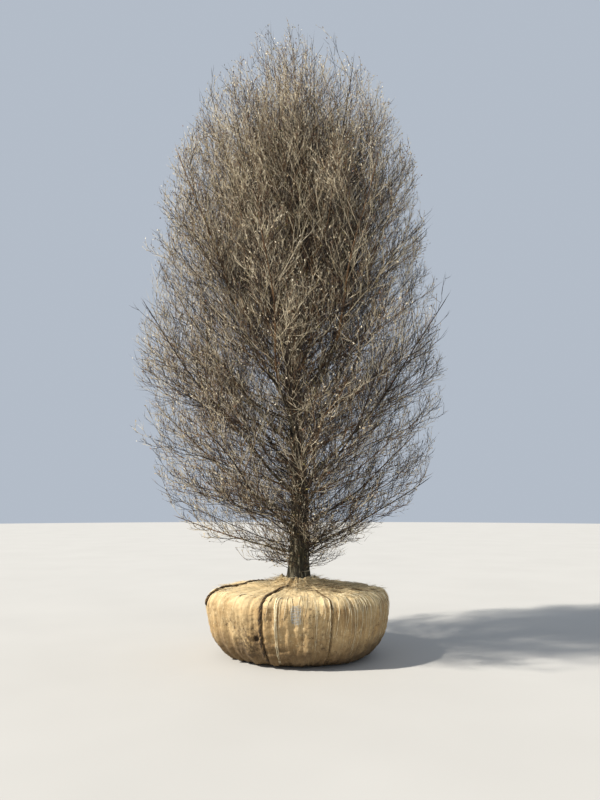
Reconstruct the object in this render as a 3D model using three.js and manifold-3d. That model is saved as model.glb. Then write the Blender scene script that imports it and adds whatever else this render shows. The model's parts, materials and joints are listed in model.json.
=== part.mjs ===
// A young broadleaf tree on its root ball: an upright oval crown of ascending boughs and opening leaf
// sprays, above a ball of soil wrapped in burlap and lashed with rope.
// Millimetres, +Z up. The origin is the centre of the ball's flat underside, and -Y is the near side.
import * as THREE from "three";
import { mergeVertices } from "three/addons/utils/BufferGeometryUtils.js";
import Module from "manifold-3d";

const wasm = await Module();
wasm.setup();

const { lerp, degToRad } = THREE.MathUtils;
const UP = new THREE.Vector3(0, 0, 1);
const FULL_TURN = Math.PI * 2;
const GOLDEN_ANGLE = degToRad(137.508);
const GAP = 0.3; // between two pieces that meet
const WELD = 1e-3; // vertices nearer than this are one
const SMOOTHING = 0.1; // how far a surface may move when its slivers are cleared away
const LEAST_FACE = 0.05; // a face thinner than this is a sliver
const SEAM_TWISTS = [0, 0.3, 0.6, 0.9, 1.2, 1.5, 1.8]; // ways to turn a piece whose seam leaves a sliver

// The root ball: a drum of soil that narrows to a flat foot, with a rounded shoulder and a low dome.
const BALL = {
  footRadius: 640,
  footBulge: [840, 40], // where the side is heading as it leaves the foot: radius, height
  sideBulge: [942, 250],
  waistRadius: 960,
  waistHeight: 490,
  shoulder: [972, 600],
  rimBulge: [930, 652],
  rimRadius: 850,
  rimHeight: 672,
  topHeight: 712,
  seatRadius: 260, // the level middle of the top, under the trunk
  segments: 32,
  curveSteps: 4,
};
// Low lobes that keep the ball from being a perfect circle: how many, how deep, and where.
const BALL_LOBES = [
  { count: 2, depth: 0.012, phase: 0.6 },
  { count: 3, depth: 0.01, phase: 2.2 },
  { count: 7, depth: 0.005, phase: 1.1 },
];
// The burlap gathered up round the foot of the trunk. Its outline is a list of radius and height above
// the top of the ball.
const COLLAR = {
  outline: [
    [300, -60],
    [330, -8],
    [215, 34],
    [172, 62],
  ],
  folds: 9,
  foldDepth: 0.09,
  segments: 27,
};
// Lashings lie on the burlap. An upright one runs from the collar over the rim to the foot, and the
// level one crosses the left of the top with both of its ends tucked down the side.
const ROPE = {
  sides: 4,
  steps: 18,
  lift: 11, // how far its middle stands off the burlap
  runOnTop: [372, 560, 740], // distances from the middle
  runOnSide: [666, 636, 560, 430, 290, 160, 70, 24], // heights
};
const UPRIGHT_ROPES = [
  { name: "lashing_rope_front", degrees: 247, radius: 14 },
  { name: "lashing_rope_back", degrees: 67, radius: 14 },
  { name: "lashing_cord_front_right", degrees: 290, radius: 10 },
];
const LEVEL_ROPE = { name: "lashing_rope_left", from: 112, to: 197, radius: 14, bow: 60, tuck: [656, 502] };

// The trunk, from its flat cut on the ball to its thin leader.
const TRUNK = {
  bottom: BALL.topHeight + GAP,
  below: 30, // how far its shape runs on below the cut
  top: 4900,
  footRadius: 112,
  topRadius: 13,
  flare: 46,
  flareHeight: 95,
  flutes: 5,
  fluteDepth: 0.05,
  lean: -0.012,
  sway: 34,
  swayLength: 620,
  swayStart: [0.2, 2.4], // where in its bows to the side and to the front the foot stands
  sides: 12,
  steps: 16,
  crowding: 1.7, // draws its rings towards the flare
};
// The crown's outline: half an ellipse above its widest height and half a shorter one below.
const CROWN = {
  middle: -70, // its upright middle stands this far beside the foot of the trunk
  bottom: 880,
  widest: 3000,
  top: 7600,
  radius: 1970,
  upperPower: 0.53,
  lowerPower: 0.5,
};

// The limbs, spaced round the trunk by the golden angle, the lowest first. Each is a bough as far as
// boughShare of it, and from there on it is the stem of a mass.
const LIMBS = {
  count: 24,
  firstTurn: 0.9,
  turnJitter: 0.22,
  firstRoot: 990,
  lastRoot: 3350,
  rootPower: 1.35,
  firstTip: 1180,
  lastTip: 7150,
  tipJitter: 110,
  tipReach: 0.97, // of the crown's radius at the tip's height
  kneeOut: 0.47, // of the way out, and of the way up
  kneeUp: 0.3,
  wave: 0.02,
  tipRadius: 3.5,
  thickening: 0.006, // root radius for each millimetre of limb
  boughShare: 0.46,
};
const BOUGH = { sides: 5, steps: 5 };
const STEM = { sides: 4, steps: 4 };
const MARKS = 10; // stretches that a stem or bough is measured in, when room beside it is tested

// Shoots on a stem, then shoots on those: how many a parent has, how far they lean from it, how long they
// are beside it, and how far they turn up to the light.
const RULE = [
  { least: 3, spacing: 430, lean: 46, share: 0.58, lift: 0.4, thickness: 0.55, steps: 2 },
  { least: 0, spacing: 350, lean: 40, share: 0.6, lift: 0.35, thickness: 0.6, steps: 1 },
];
const TWIG = {
  sides: 3,
  leastRadius: 3.2,
  tipRadius: 2.2,
  first: 0.1, // where on their parent the first and last of them grow
  last: 0.93,
  shorten: 0.5,
  leanJitter: 0.18,
  lengthJitter: 0.25,
};
const TRIALS = [1, 0.75, 0.5]; // a shoot that has no room is tried shorter, then left out
const ROOM_TESTS = [0.4, 0.7, 1]; // where along a shoot its room is tested
const SPACE_MARGIN = 14; // kept between two masses, and between a mass and a limb
// One leaf stands for a whole spray of small ones, so it is larger than life.
const LEAF = { length: 180, width: 60, thickness: 8, widest: 0.42, turn: 1.5 };

// A repeatable number from 0 to 1 for each pair of whole numbers.
function chance(seed, index) {
  const wave = Math.sin(seed * 127.1 + index * 311.7) * 43758.5453;
  return wave - Math.floor(wave);
}

const spread = (seed, index, width) => (chance(seed, index) * 2 - 1) * width;
const seedOfShoot = (seed, number) => (seed * 31 + number * 17 + 7) % 99991;

// A triangle list as a solid, with shared vertices and without collapsed faces.
function rawSolid(geometry, reversed) {
  const bare = new THREE.BufferGeometry();
  bare.setAttribute("position", geometry.getAttribute("position"));
  bare.setIndex(geometry.getIndex());
  const welded = mergeVertices(bare, WELD);
  const corners = welded.getIndex().array;
  const kept = [];
  for (let i = 0; i < corners.length; i += 3) {
    const [a, b, c] = corners.slice(i, i + 3);
    if (a !== b && b !== c && c !== a) kept.push(a, reversed ? c : b, reversed ? b : c);
  }
  const vertProperties = new Float32Array(welded.getAttribute("position").array);
  return new wasm.Manifold(new wasm.Mesh({ numProp: 3, vertProperties, triVerts: new Uint32Array(kept) }));
}

// The same, with its faces turned outwards whichever way the geometry was wound.
function solidOf(geometry) {
  const solid = rawSolid(geometry, false);
  return solid.volume() > 0 ? solid : rawSolid(geometry, true);
}

function thinnestFace(solid) {
  const { vertProperties, triVerts } = solid.getMesh();
  const point = (corner) => new THREE.Vector3().fromArray(vertProperties, corner * 3);
  let thinnest = Infinity;
  for (let i = 0; i < triVerts.length; i += 3) {
    const face = new THREE.Triangle(...Array.from(triVerts.slice(i, i + 3), point));
    const longest = Math.max(face.a.distanceTo(face.b), face.b.distanceTo(face.c), face.c.distanceTo(face.a));
    thinnest = Math.min(thinnest, (2 * face.getArea()) / longest);
  }
  return thinnest;
}

const simplified = (solid) => solid.asOriginal().simplify(SMOOTHING);

// The first twist of a cut or fused piece that leaves no sliver, or nothing.
function withoutSliver(solidAt) {
  for (const twist of SEAM_TWISTS) {
    const solid = simplified(solidAt(twist));
    if (thinnestFace(solid) > LEAST_FACE) return solid;
  }
  return null;
}

// The largest body of a solid as a geometry, without loose scraps and sealed hollows.
function geometryOf(solid) {
  const bodies = solid.decompose();
  const mesh = bodies.reduce((a, b) => (b.volume() > a.volume() ? b : a)).getMesh();
  const geometry = new THREE.BufferGeometry();
  geometry.setAttribute("position", new THREE.BufferAttribute(new Float32Array(mesh.vertProperties), 3));
  geometry.setIndex(new THREE.BufferAttribute(new Uint32Array(mesh.triVerts), 1));
  geometry.computeVertexNormals();
  return geometry;
}

// A horizontal direction at an angle round +Z.
const outward = (angle) => new THREE.Vector3(Math.cos(angle), Math.sin(angle), 0);

// A direction square to another one.
function squareTo(direction) {
  const helper = Math.abs(direction.z) > 0.9 ? new THREE.Vector3(1, 0, 0) : UP;
  return new THREE.Vector3().crossVectors(helper, direction).normalize();
}

// Part of a curve, from one share of it to another.
class Stretch extends THREE.Curve {
  constructor(curve, from, to) {
    super();
    Object.assign(this, { curve, from, to });
  }
  getPoint(t, target = new THREE.Vector3()) {
    return this.curve.getPoint(lerp(this.from, this.to, t), target);
  }
}

// The curve's point and two crosswise directions at each step, turning as little as possible.
function framesAlong(curve, steps) {
  let normal = squareTo(curve.getTangent(0));
  return Array.from({ length: steps + 1 }, (_, step) => {
    const tangent = curve.getTangent(step / steps);
    normal = normal.clone().addScaledVector(tangent, -normal.dot(tangent)).normalize();
    const binormal = new THREE.Vector3().crossVectors(tangent, normal);
    return { point: curve.getPoint(step / steps), normal, binormal };
  });
}

// A closed body through a row of rings of points. Its ends are flat, and a last ring of one point is a tip.
function ringSolid(rings) {
  const sides = rings[0].length;
  const faces = [];
  const corner = (ring, side) => ring * sides + (rings[ring].length === 1 ? 0 : side % sides);
  for (let ring = 0; ring + 1 < rings.length; ring += 1) {
    for (let side = 0; side < sides; side += 1) {
      const [a, b] = [corner(ring, side), corner(ring, side + 1)];
      const [c, d] = [corner(ring + 1, side + 1), corner(ring + 1, side)];
      faces.push(a, b, d, b, c, d);
    }
  }
  const last = rings.length - 1;
  for (let side = 1; side + 1 < sides; side += 1) {
    faces.push(corner(0, 0), corner(0, side + 1), corner(0, side));
    faces.push(corner(last, 0), corner(last, side), corner(last, side + 1));
  }
  const geometry = new THREE.BufferGeometry().setFromPoints(rings.flat());
  geometry.setIndex(faces);
  return solidOf(geometry);
}

// A ring across a curve: offsetAt gives how far each of its points is to the side and to the front.
function ringOf({ point, normal, binormal }, sides, offsetAt) {
  return Array.from({ length: sides }, (_, side) => {
    const [aside, ahead] = offsetAt((side / sides) * FULL_TURN);
    return point.clone().addScaledVector(normal, aside).addScaledVector(binormal, ahead);
  });
}

function roundOffset(radius, twist = 0) {
  return (angle) => [Math.sin(angle + twist) * radius, Math.cos(angle + twist) * radius];
}

// A limb along a curve, with its radius given for each share of the way and each angle round it.
function limbSolid(curve, radiusAt, sides, steps, twist = 0) {
  const rings = framesAlong(curve, steps).map((frame, step) =>
    ringOf(frame, sides, (angle) => roundOffset(radiusAt(step / steps, angle), twist)(angle)),
  );
  return ringSolid(rings);
}

// An outline turned round +Z, its radius scaled by a function of the angle.
function turnedSolid(outline, segments, scaleAt) {
  const geometry = new THREE.LatheGeometry(outline, segments);
  geometry.rotateX(Math.PI / 2);
  const position = geometry.getAttribute("position");
  for (let i = 0; i < position.count; i += 1) {
    const [x, y] = [position.getX(i), position.getY(i)];
    const scale = scaleAt(Math.atan2(y, x));
    position.setXY(i, x * scale, y * scale);
  }
  return solidOf(geometry);
}

const ballLobe = (angle) =>
  BALL_LOBES.reduce((sum, { count, depth, phase }) => sum + depth * Math.cos(count * angle + phase), 1);

// The ball's outline from the middle of its underside to the middle of its top, grown by an allowance.
function ballOutline(allowance) {
  const outline = new THREE.Path();
  const grown = ([radius, height]) => [radius + allowance, height];
  outline.moveTo(0, -allowance);
  outline.lineTo(BALL.footRadius + allowance, -allowance);
  const waist = grown([BALL.waistRadius, BALL.waistHeight]);
  outline.bezierCurveTo(...grown(BALL.footBulge), ...grown(BALL.sideBulge), ...waist);
  const rim = [BALL.rimRadius, BALL.rimHeight + allowance];
  outline.bezierCurveTo(...grown(BALL.shoulder), ...grown(BALL.rimBulge), ...rim);
  outline.lineTo(BALL.seatRadius, BALL.topHeight + allowance);
  outline.lineTo(0, BALL.topHeight + allowance);
  return outline.getPoints(BALL.curveSteps);
}

const ballSolid = (allowance) => turnedSolid(ballOutline(allowance), BALL.segments, ballLobe);

// Where the trunk's middle is at a height, and how thick the trunk is there.
function trunkPoint(height, target = new THREE.Vector3()) {
  const above = height - TRUNK.bottom;
  const turn = above / TRUNK.swayLength;
  const [startX, startY] = TRUNK.swayStart;
  const swayX = Math.sin(turn + startX) - Math.sin(startX);
  const swayY = Math.sin(turn * 0.8 + startY) - Math.sin(startY);
  return target.set(TRUNK.lean * above + TRUNK.sway * swayX, TRUNK.sway * swayY, height);
}

function trunkRadius(height, angle) {
  const above = height - TRUNK.bottom;
  const taper = lerp(TRUNK.footRadius, TRUNK.topRadius, above / (TRUNK.top - TRUNK.bottom));
  const flare = Math.exp(-above / TRUNK.flareHeight);
  const flute = 1 + TRUNK.fluteDepth * (0.4 + flare) * Math.cos(TRUNK.flutes * angle);
  return (taper + TRUNK.flare * flare) * flute;
}

// The trunk before its foot is cut flat, grown by an allowance where another piece has to clear it.
function uncutTrunk(allowance) {
  const heightAt = (t) => lerp(TRUNK.bottom - TRUNK.below, TRUNK.top, t ** TRUNK.crowding);
  const line = new THREE.Curve();
  line.getPoint = (t, target) => trunkPoint(heightAt(t), target);
  const radiusAt = (t, angle) => trunkRadius(heightAt(t), angle) + allowance;
  return limbSolid(line, radiusAt, TRUNK.sides, TRUNK.steps);
}

function crownRadius(height) {
  const above = height >= CROWN.widest;
  const span = above ? CROWN.top - CROWN.widest : CROWN.widest - CROWN.bottom;
  const share = Math.min(1, Math.abs(height - CROWN.widest) / span);
  return CROWN.radius * (1 - share * share) ** (above ? CROWN.upperPower : CROWN.lowerPower);
}

const crownMiddle = (height) => new THREE.Vector3(CROWN.middle, 0, height);

// One limb, from the trunk's middle to the crown's outline: it leaves low, then rises, with a slight wave.
class Limb extends THREE.Curve {
  constructor(number) {
    super();
    const share = (number + 0.5) / LIMBS.count;
    const tipHeight = lerp(LIMBS.firstTip, LIMBS.lastTip, share) + spread(number, 1, LIMBS.tipJitter);
    const angle = LIMBS.firstTurn + number * GOLDEN_ANGLE + spread(number, 2, LIMBS.turnJitter);
    const out = outward(angle);
    this.root = trunkPoint(lerp(LIMBS.firstRoot, LIMBS.lastRoot, share ** LIMBS.rootPower));
    this.tip = crownMiddle(tipHeight).addScaledVector(out, crownRadius(tipHeight) * LIMBS.tipReach);
    const reach = this.tip.clone().sub(this.root);
    this.span = reach.length();
    this.knee = this.root.clone().addScaledVector(out, reach.dot(out) * LIMBS.kneeOut);
    this.knee.addScaledVector(UP, reach.z * LIMBS.kneeUp);
    this.side = new THREE.Vector3().crossVectors(UP, out);
    this.phase = chance(number, 3) * FULL_TURN;
    this.rootRadius = LIMBS.tipRadius + LIMBS.thickening * this.span;
  }
  getPoint(t, target = new THREE.Vector3()) {
    const wave = Math.sin(Math.PI * t) * Math.sin(Math.PI * 3 * t + this.phase);
    target.copy(this.root).multiplyScalar((1 - t) ** 2);
    target.addScaledVector(this.knee, 2 * t * (1 - t));
    target.addScaledVector(this.tip, t * t);
    return target.addScaledVector(this.side, wave * LIMBS.wave * this.span);
  }
  radiusAt(t) {
    return lerp(this.rootRadius, LIMBS.tipRadius, t ** 0.8);
  }
}

// The leader carries the trunk's thin end on to the top of the crown. It sets out the way the trunk heads.
class Leader extends THREE.QuadraticBezierCurve3 {
  constructor() {
    const [start, end] = [trunkPoint(TRUNK.top), crownMiddle(CROWN.top)];
    const below = trunkPoint(TRUNK.top - 1);
    const knee = start.clone().addScaledVector(start.clone().sub(below), (end.z - start.z) / 2);
    super(start, knee, end);
  }
  radiusAt(t) {
    return lerp(TRUNK.topRadius, LIMBS.tipRadius, t);
  }
}

// What is left of a limb a gap beyond its bough, as the stem of a mass.
function stemBeyond(limb, end) {
  const step = 0.01;
  const stepLength = limb.getPoint(end).distanceTo(limb.getPoint(end + step));
  const from = end + (GAP * step) / stepLength;
  return Object.assign(new Stretch(limb, from, 1), { radiusAt: (t) => limb.radiusAt(lerp(from, 1, t)) });
}

const limbs = Array.from({ length: LIMBS.count }, (_, number) => new Limb(number));
const boughs = limbs.map((limb) => new Stretch(limb, 0, LIMBS.boughShare));
const stems = [...limbs.map((limb) => stemBeyond(limb, LIMBS.boughShare)), stemBeyond(new Leader(), 0)];
const boughMarks = boughs.map((bough) => bough.getPoints(MARKS));
const stemMarks = stems.map((stem) => stem.getPoints(MARKS));

function distanceToMarks(point, marks) {
  const nearest = new THREE.Vector3();
  const distances = marks.slice(1).map((mark, i) => {
    new THREE.Line3(marks[i], mark).closestPointToPoint(point, true, nearest);
    return nearest.distanceTo(point);
  });
  return Math.min(...distances);
}

// Whether a point and what is round it stay in their own mass's space: inside the crown, clear of the
// trunk and the boughs, and nearer to their own stem than to any other.
function hasRoom(point, mass, halfWidth) {
  const clear = halfWidth + SPACE_MARGIN;
  const fromAxis = (middle) => Math.hypot(point.x - middle.x, point.y - middle.y);
  if (point.z < CROWN.bottom || point.z > CROWN.top) return false;
  if (fromAxis(crownMiddle(point.z)) > crownRadius(point.z)) return false;
  const besideTrunk = point.z < TRUNK.top + clear;
  if (besideTrunk && fromAxis(trunkPoint(point.z)) < trunkRadius(point.z, 0) + clear) return false;
  const touches = (marks, i) => distanceToMarks(point, marks) < limbs[i].rootRadius + clear;
  if (boughMarks.some(touches)) return false;
  const own = distanceToMarks(point, stemMarks[mass]);
  return stemMarks.every((marks, i) => i === mass || distanceToMarks(point, marks) > own + clear);
}

// A shoot leaves its parent at a lean and then turns up.
function shootOn(parent, at, number, seed, rule, length) {
  const root = parent.getPoint(at);
  const along = parent.getTangent(at);
  const hinge = squareTo(along).applyAxisAngle(along, number * GOLDEN_ANGLE + chance(seed, 5) * FULL_TURN);
  const lean = degToRad(rule.lean) * (1 + spread(seed, number + 11, TWIG.leanJitter));
  const leaving = along.applyAxisAngle(hinge, lean);
  const rising = leaving.clone().lerp(UP, rule.lift).normalize();
  const knee = root.clone().addScaledVector(leaving, length / 2);
  return new THREE.QuadraticBezierCurve3(root, knee, knee.clone().addScaledVector(rising, length / 2));
}

// A three-sided twig along a curve, widening at its end into a flat leaf with a ridge on its back. The
// leaf is left out, and the twig ends in a point, where the leaf has no room.
function twigSolid(curve, radiusAt, steps, mass, seed, twist) {
  const frames = framesAlong(curve, steps);
  const end = frames[steps];
  const along = curve.getTangent(1);
  const leafPoint = (share) => end.point.clone().addScaledVector(along, LEAF.length * share);
  const roomy = [LEAF.widest, 1].every((share) => hasRoom(leafPoint(share), mass, LEAF.width / 2));
  const ringAt = (frame, step) => ringOf(frame, TWIG.sides, roundOffset(radiusAt(step / steps), twist));
  const rings = frames.map(ringAt);
  if (!roomy) return ringSolid([...rings.slice(0, steps), [end.point]]);
  const turn = spread(seed, 31, LEAF.turn);
  const turned = (side) => side.clone().applyAxisAngle(along, turn);
  const [normal, binormal] = [turned(end.normal), turned(end.binormal)];
  const broad = ringOf({ point: leafPoint(LEAF.widest), normal, binormal }, TWIG.sides, (angle) => [
    (LEAF.width / 2) * (Math.sin(angle) / Math.sin(FULL_TURN / TWIG.sides)),
    LEAF.thickness * Math.max(0, Math.cos(angle)),
  ]);
  return ringSolid([...rings, broad, [leafPoint(1)]]);
}

// The body with all that grows on one parent, by the rule of its generation.
function grow(body, parent, length, radiusOf, generation, mass, seed) {
  let grown = body;
  const rule = RULE[generation];
  const count = rule.least + Math.round(length / rule.spacing);
  for (let number = 0; number < count; number += 1) {
    const at = lerp(TWIG.first, TWIG.last, (number + chance(seed, number)) / count);
    const jitter = 1 + spread(seed, number + 23, TWIG.lengthJitter);
    const whole = length * rule.share * (1 - TWIG.shorten * at) * jitter;
    const radius = Math.max(TWIG.leastRadius, radiusOf(at) * rule.thickness);
    const shootOf = (trial) => shootOn(parent, at, number, seed, rule, whole * trial);
    const fits = (trial) => ROOM_TESTS.every((t) => hasRoom(shootOf(trial).getPoint(t), mass, radius));
    const trial = TRIALS.find(fits);
    if (!trial) continue;
    const shoot = shootOf(trial);
    const radiusAt = (t) => lerp(radius, TWIG.tipRadius, t);
    const ownSeed = seedOfShoot(seed, number);
    const twigAt = (twist) => twigSolid(shoot, radiusAt, rule.steps, mass, ownSeed, twist);
    const joined = withoutSliver((twist) => grown.add(twigAt(twist)));
    if (!joined) continue;
    const goesOn = generation + 1 < RULE.length;
    grown = goesOn ? grow(joined, shoot, whole * trial, radiusAt, generation + 1, mass, ownSeed) : joined;
  }
  return grown;
}

function massSolid(stem, mass) {
  const body = limbSolid(stem, stem.radiusAt, STEM.sides, STEM.steps);
  return grow(body, stem, stem.getLength(), stem.radiusAt, 0, mass, mass + 101);
}

const clearOfBall = ballSolid(GAP);
const clearOfTrunk = uncutTrunk(GAP);

// The gathered burlap: a low folded cone, hollowed by the ball below it and the trunk inside it.
function collarSolid() {
  const outline = COLLAR.outline.map(([radius, above]) => new THREE.Vector2(radius, BALL.topHeight + above));
  const closed = [new THREE.Vector2(0, outline[0].y), ...outline, new THREE.Vector2(0, outline.at(-1).y)];
  const foldAt = (angle) => 1 + COLLAR.foldDepth * Math.cos(COLLAR.folds * angle) * Math.sin(2 * angle + 1);
  return turnedSolid(closed, COLLAR.segments, foldAt).subtract(clearOfBall).subtract(clearOfTrunk);
}

// The middle of a rope that lies on the top of the ball, at a distance from the axis.
function onTop(angle, distance) {
  const slope = (BALL.topHeight - BALL.rimHeight) / (BALL.rimRadius - BALL.seatRadius);
  const height = BALL.topHeight - (distance - BALL.seatRadius) * slope;
  return outward(angle).multiplyScalar(distance).setZ(height + ROPE.lift);
}

// The same on the side of the ball, at a height.
const sideOutline = ballOutline(0).filter(({ x }) => x > BALL.seatRadius);

function onSide(angle, height) {
  const next = sideOutline.findIndex((point) => point.y >= height && point.y > 0);
  const [low, high] = [sideOutline[next - 1], sideOutline[next]];
  const radius = lerp(low.x, high.x, (height - low.y) / (high.y - low.y));
  return outward(angle).multiplyScalar(radius * ballLobe(angle) + ROPE.lift).setZ(height);
}

function ropeSolid(points, radius) {
  const line = new THREE.CatmullRomCurve3(points);
  return limbSolid(line, () => radius, ROPE.sides, ROPE.steps).subtract(clearOfBall);
}

function uprightRope({ degrees, radius }) {
  const angle = degToRad(degrees);
  const top = ROPE.runOnTop.map((distance) => onTop(angle, distance));
  return ropeSolid([...top, ...ROPE.runOnSide.map((height) => onSide(angle, height))], radius);
}

function levelRope({ from, to, radius, bow, tuck }) {
  const [start, end] = [degToRad(from), degToRad(to)];
  const [firstRim, lastRim] = [onSide(start, tuck[0]), onSide(end, tuck[0])];
  const across = [0.15, 0.38, 0.62, 0.85].map((share) => {
    const point = firstRim.clone().lerp(lastRim, share);
    const inward = bow * Math.sin(Math.PI * share);
    return onTop(Math.atan2(point.y, point.x), Math.hypot(point.x, point.y) - inward);
  });
  return ropeSolid([onSide(start, tuck[1]), firstRim, ...across, lastRim, onSide(end, tuck[1])], radius);
}

const MATERIALS = {
  burlap: new THREE.MeshStandardMaterial({ color: 0xb9945e, roughness: 0.95, metalness: 0 }),
  rope: new THREE.MeshStandardMaterial({ color: 0x4a3826, roughness: 0.95, metalness: 0 }),
  bark: new THREE.MeshStandardMaterial({ color: 0x5a5148, roughness: 0.85, metalness: 0 }),
  shoots: new THREE.MeshStandardMaterial({ color: 0x8a7152, roughness: 0.85, metalness: 0 }),
};

const tree = new THREE.Group();

function add(name, solid, material) {
  const mesh = new THREE.Mesh(geometryOf(solid), material);
  mesh.name = name;
  tree.add(mesh);
}

const numbered = (word, number) => word + "_" + String(number + 1).padStart(2, "0");

add("root_ball", ballSolid(0), MATERIALS.burlap);
add("burlap_collar", simplified(collarSolid()), MATERIALS.burlap);
UPRIGHT_ROPES.forEach((rope) => add(rope.name, simplified(uprightRope(rope)), MATERIALS.rope));
add(LEVEL_ROPE.name, simplified(levelRope(LEVEL_ROPE)), MATERIALS.rope);
add("trunk", simplified(uncutTrunk(0).trimByPlane([0, 0, 1], TRUNK.bottom)), MATERIALS.bark);
boughs.forEach((bough, number) => {
  const radiusAt = (t) => limbs[number].radiusAt(t * LIMBS.boughShare);
  const boughAt = (twist) => limbSolid(bough, radiusAt, BOUGH.sides, BOUGH.steps, twist);
  const cut = withoutSliver((twist) => boughAt(twist).subtract(clearOfTrunk));
  add(numbered("bough", number), cut, MATERIALS.bark);
});
stems.forEach((stem, mass) => {
  const name = mass < LIMBS.count ? numbered("mass", mass) : "mass_leader";
  add(name, massSolid(stem, mass), MATERIALS.shoots);
});

export default tree;
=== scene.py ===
"""A young broadleaf tree on its burlap-wrapped root ball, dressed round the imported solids.

Metres, +Z up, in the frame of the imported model, and -Y is the near side. The limbs follow the rule that
the solids follow, and the shoots are then carried on to finer twigs inside the same crown.
"""

import json
import math
from collections import namedtuple
from types import SimpleNamespace as Values

import bpy
import numpy as np
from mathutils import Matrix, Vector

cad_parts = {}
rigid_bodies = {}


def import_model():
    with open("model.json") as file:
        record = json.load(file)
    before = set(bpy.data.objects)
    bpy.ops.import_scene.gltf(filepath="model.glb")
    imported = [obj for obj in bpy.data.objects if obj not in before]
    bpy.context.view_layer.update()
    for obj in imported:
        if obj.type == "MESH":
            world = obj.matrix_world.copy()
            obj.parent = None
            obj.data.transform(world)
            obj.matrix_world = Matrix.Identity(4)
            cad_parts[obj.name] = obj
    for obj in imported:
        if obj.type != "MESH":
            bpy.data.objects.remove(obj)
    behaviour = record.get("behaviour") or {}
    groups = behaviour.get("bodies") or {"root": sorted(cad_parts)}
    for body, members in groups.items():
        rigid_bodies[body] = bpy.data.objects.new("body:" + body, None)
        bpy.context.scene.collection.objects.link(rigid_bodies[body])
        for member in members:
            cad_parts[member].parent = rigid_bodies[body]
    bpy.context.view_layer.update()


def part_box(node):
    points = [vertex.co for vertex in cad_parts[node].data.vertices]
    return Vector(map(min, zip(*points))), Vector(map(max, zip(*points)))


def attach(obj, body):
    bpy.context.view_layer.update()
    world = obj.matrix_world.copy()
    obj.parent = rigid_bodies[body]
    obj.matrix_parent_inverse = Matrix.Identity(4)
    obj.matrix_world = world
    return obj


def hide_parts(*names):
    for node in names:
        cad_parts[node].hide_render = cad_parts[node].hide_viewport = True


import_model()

UP = np.array((0.0, 0.0, 1.0))
FULL_TURN = 2 * math.pi
GOLDEN_ANGLE = math.radians(137.508)
# What the draws and the cells of the noise are hashed with.
DRAWS = Values(seed=127.1, index=311.7, scale=43758.5453)
CELLS = Values(axes=(73856093, 19349663, 83492791), seed=2654435761, key=1274126177)

# The camera stands where the photograph was taken from: a 620-pixel focal length in an 800-pixel frame.
CAMERA = Values(place=(0, -7.1, 1.55), pitch=9.8, lens=27.9, shift=0.0025)

# The trunk, the crown and the limbs, as the solids have them.
TRUNK = Values(
    bottom=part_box("trunk")[0].z, top=4.9, foot_radius=0.112, top_radius=0.013, flare=0.046,
    flare_height=0.095, flutes=5, flute_depth=0.05, lean=-0.012, sway=0.034, sway_length=0.62,
    sway_start=(0.2, 2.4), sway_back=0.8,
)
CROWN = Values(
    middle=-0.07, bottom=0.88, widest=3.0, top=7.6, radius=1.97, upper_power=0.53, lower_power=0.5
)
# For each set of limbs: their first turn and its jitter, the heights of the lowest and highest root and tip
# with the power that crowds them, how far out the tips reach with its jitter, and how far out and up the
# knee lies.
LIMBS = Values(
    count=24, own_seed=0, shoot_seed=101, turns=(0.9, 0.22), roots=(0.99, 3.35, 1.35), tips=(1.18, 7.15, 1),
    tip_jitter=0.11, reach=(0.97, 0), knee=(0.47, 0.3), wave=0.02, tip_radius=0.0035, thickening=0.006,
    steps=200,
)
# Thinner limbs between them.
FAN = Values(
    count=146, own_seed=307, turns=(2.3, 0.5), roots=(0.93, 4.5, 1.25), tips=(1.25, 6.4, 1.3),
    tip_jitter=0.35, reach=(0.9, 0.07), knee=(0.42, 0.3), wave=0.03, tip_radius=0.002,
    thickening=0.0032, steps=16,
)
# Upright whips from the upper trunk, which end all over the top of the crown.
WHIPS = Values(
    count=34, own_seed=613, turns=(0.4, 0.5), roots=(2.6, 4.75, 1), tips=(6.35, 7.42, 1), tip_jitter=0.2,
    reach=(0.62, 0.34), knee=(0.62, 0.35), wave=0.025, tip_radius=0.002, thickening=0.0026, steps=16,
)
# The share of a limb that is bough, and how its radius falls off along it.
BOUGH_SHARE = 0.46
LIMB_TAPER = 0.8
# A shoot is shorter towards its parent's tip. It is tried at these shares of its length, and has room if it
# has it at all of these shares along it.
SHORTEN = 0.5
LEAN_JITTER = 0.18
LENGTH_JITTER = 0.25
TRIALS = (1, 0.75, 0.5)
ROOM_TESTS = (0.4, 0.7, 1)
# How far the shoots of two masses stay apart, and in how many stretches the stems are measured for it.
SPACE_MARGIN = 0.014
MARKS = 10


# How shoots grow on a parent: the least of them, their spacing, how far they lean, their share of its length,
# how they rise, their share of its thickness, their steps, and between which shares of its length they grow.
Rule = namedtuple(
    "Rule", "least spacing lean share lift thickness steps first last shift", defaults=(0.1, 0.93, 0)
)
# The two generations that the solids have.
SOLID_RULES = (Rule(3, 0.43, 46, 0.58, 0.4, 0.55, 6), Rule(0, 0.35, 40, 0.6, 0.35, 0.6, 3))
# The dense shoots between them, the sprigs that grow straight on the trunk, and two finer generations.
FILL_RULE = Rule(4, 0.155, 34, 0.33, 0.5, 0.44, 4, 0.12, 0.97, 40961)
SPRIG_RULE = Rule(2, 0.0095, 60, 0.13, 0.5, 0.05, 4, 0.01, 0.99, 5003)
FOOT_RULE = Rule(2, 0.009, 78, 0.6, 0.2, 0.03, 4, 0.05, 0.99, 6007)
FINE_RULE = Rule(2, 0.089, 34, 0.64, 0.4, 0.62, 2, 0.1, 0.97, 7211)
FINEST_RULE = Rule(1, 0.105, 32, 0.7, 0.3, 0.8, 1, 0.1, 0.95, 911)
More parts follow.
